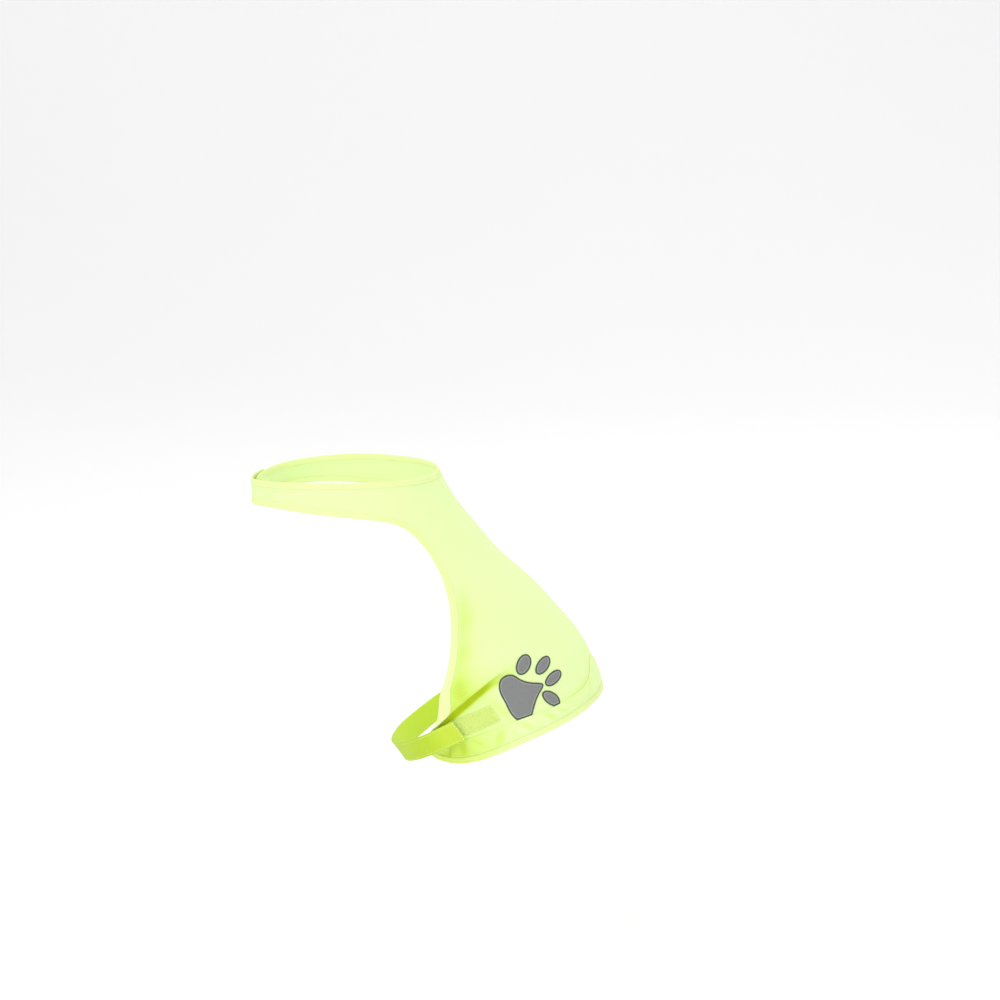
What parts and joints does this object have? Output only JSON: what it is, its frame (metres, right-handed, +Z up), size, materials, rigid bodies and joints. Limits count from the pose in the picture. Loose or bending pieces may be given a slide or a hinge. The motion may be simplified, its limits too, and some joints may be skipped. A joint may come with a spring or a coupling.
{
  "type": "dog safety vest",
  "caption": "Worn high-visibility dog vest: bound back panel with neck arms meeting at the throat, hem band, belly strap and a reflective paw.",
  "frame": {"origin": "on the inner face of the back panel, on the ridge at the withers, where the wearer's back holds the vest up", "axes": "+X from the neck towards the tail, +Z up, -Y towards the wearer's left side, which carries the paw"},
  "size_m": [0.2845, 0.159, 0.2367],
  "materials": {
    "vest_cloth": "fine knitted polyester, fluorescent yellow",
    "binding_cloth": "narrow folded tape, fluorescent yellow",
    "strap_cloth": "woven polyester strap, fluorescent yellow",
    "fastening_tape": "hook and loop tape with a short nap",
    "reflective_print": "grey reflective film with a dark edge"
  },
  "bodies": {
    "root": {"back_panel": "vest_cloth", "neck_binding": "binding_cloth", "front_binding_left": "binding_cloth", "front_binding_right": "binding_cloth", "hem_binding": "binding_cloth", "hem_band": "vest_cloth", "belly_strap": "strap_cloth", "strap_hook": "fastening_tape", "loop_patch": "fastening_tape", "throat_loop": "fastening_tape", "throat_hook": "fastening_tape", "paw_pad": "reflective_print", "paw_toe_1": "reflective_print", "paw_toe_2": "reflective_print", "paw_toe_3": "reflective_print", "paw_toe_4": "reflective_print"}
  },
  "joints": []
}
